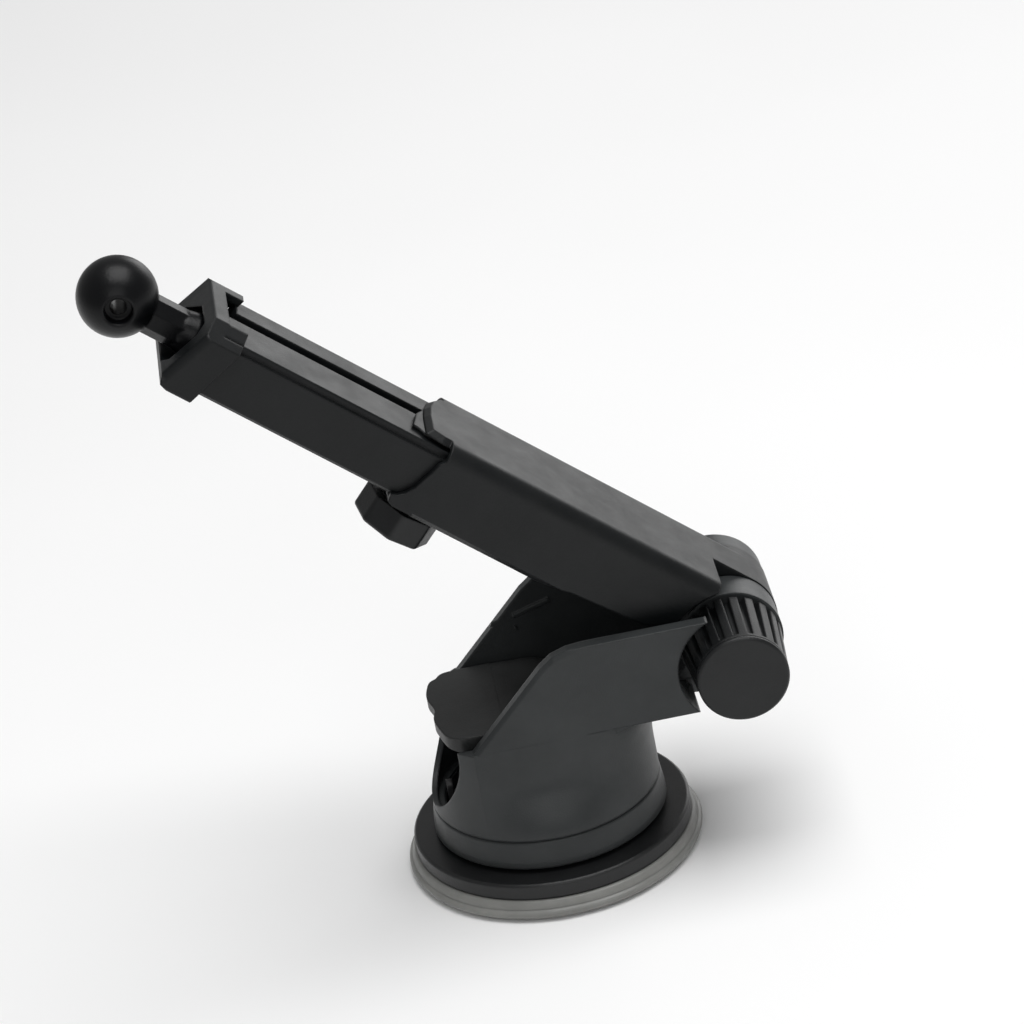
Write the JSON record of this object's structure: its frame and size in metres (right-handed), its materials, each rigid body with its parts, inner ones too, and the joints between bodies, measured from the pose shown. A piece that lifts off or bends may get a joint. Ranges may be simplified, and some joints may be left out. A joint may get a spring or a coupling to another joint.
{
  "type": "suction mount with telescopic arm",
  "caption": "Suction-cup phone mount with a locking lever, clamping hinge, telescopic arm and ball head for a cradle.",
  "frame": {"origin": "centre of the suction pad on the surface that it grips", "axes": "+Z away from the surface; the arm hinge turns about +Y; the arm leans towards -X at rest and the clamping knob is on the -Y side"},
  "size_m": [0.132, 0.065, 0.1556],
  "materials": {
    "soft_gel": "soft translucent grey grip gel",
    "cup_black": "satin black moulded",
    "housing_black": "fine spark-eroded matt black",
    "arm_black": "fine spark-eroded matt black",
    "lever_black": "matt black",
    "knob_black": "matt black, satin edges",
    "ball_black": "satin black nylon",
    "inner_plastic": "plain natural black acetal",
    "steel": "plain zinc plated",
    "brass": "turned"
  },
  "bodies": {
    "base": {"suction_gel_pad": "soft_gel", "suction_cup_disc": "cup_black", "suction_collar": "housing_black", "stem_guide_plate": "inner_plastic", "guide_plate_screws": "steel", "base_housing": "housing_black", "lever_pivot_pin": "steel", "stem_spring": "steel", "lever_torsion_spring": "steel", "hinge_bolt": "steel", "hinge_bolt_cap": "housing_black"},
    "stem": {"suction_stem": "inner_plastic", "stem_cross_pin": "steel"},
    "lever": {"suction_lever": "lever_black"},
    "hinge_knob": {"hinge_knob": "knob_black", "hinge_knob_cap": "knob_black", "hinge_knob_nut": "brass"},
    "arm": {"arm_sleeve": "arm_black", "hinge_bush": "inner_plastic", "hinge_washers": "inner_plastic", "sleeve_nut": "steel", "glide_strips": "inner_plastic", "slide_stop_clip": "arm_black"},
    "lock_knob": {"telescope_lock_knob": "knob_black", "lock_stud": "steel"},
    "brake_shoe": {"brake_shoe": "inner_plastic"},
    "inner_arm": {"inner_arm": "arm_black", "inner_arm_plug": "arm_black", "arm_end_cap": "arm_black", "cap_dowels": "steel", "ball_stud": "ball_black", "ball_stud_screw": "steel"}
  },
  "joints": [
    {"name": "arm_pivot", "type": "hinge", "parent": "base", "child": "arm", "pos_m": [0.044, 0, 0.045], "axis": [0, 1, 0], "range_deg": [-38, 108]},
    {"name": "telescope_slide", "type": "slide", "parent": "arm", "child": "inner_arm", "axis": [-0.749, 0, 0.6626], "range_m": [-0.039, 0.008]},
    {"name": "hinge_knob_turn", "type": "hinge", "parent": "base", "child": "hinge_knob", "pos_m": [0.044, -0.02, 0.045], "axis": [0, -1, 0], "range_deg": [0, 540]},
    {"name": "lock_knob_turn", "type": "hinge", "parent": "arm", "child": "lock_knob", "pos_m": [-0.02065, 0, 0.08617], "axis": [-0.6626, 0, -0.749], "range_deg": [0, 360]},
    {"name": "brake_travel", "type": "slide", "parent": "arm", "child": "brake_shoe", "axis": [-0.6626, 0, -0.749], "range_m": [0, 0.0003]},
    {"name": "lever_pivot", "type": "hinge", "parent": "base", "child": "lever", "pos_m": [0, 0, 0.028], "axis": [0, 1, 0], "range_deg": [0, 60]},
    {"name": "stem_travel", "type": "slide", "parent": "base", "child": "stem", "axis": [0, 0, 1], "range_m": [-0.0026, 0], "deforming": ["stem_spring"]}
  ],
  "couplings": [
    {"joint": "stem_travel", "follows": "lever_pivot", "m_per_rad": -0.0023873},
    {"joint": "brake_travel", "follows": "lock_knob_turn", "m_per_rad": 0.000047269}
  ]
}
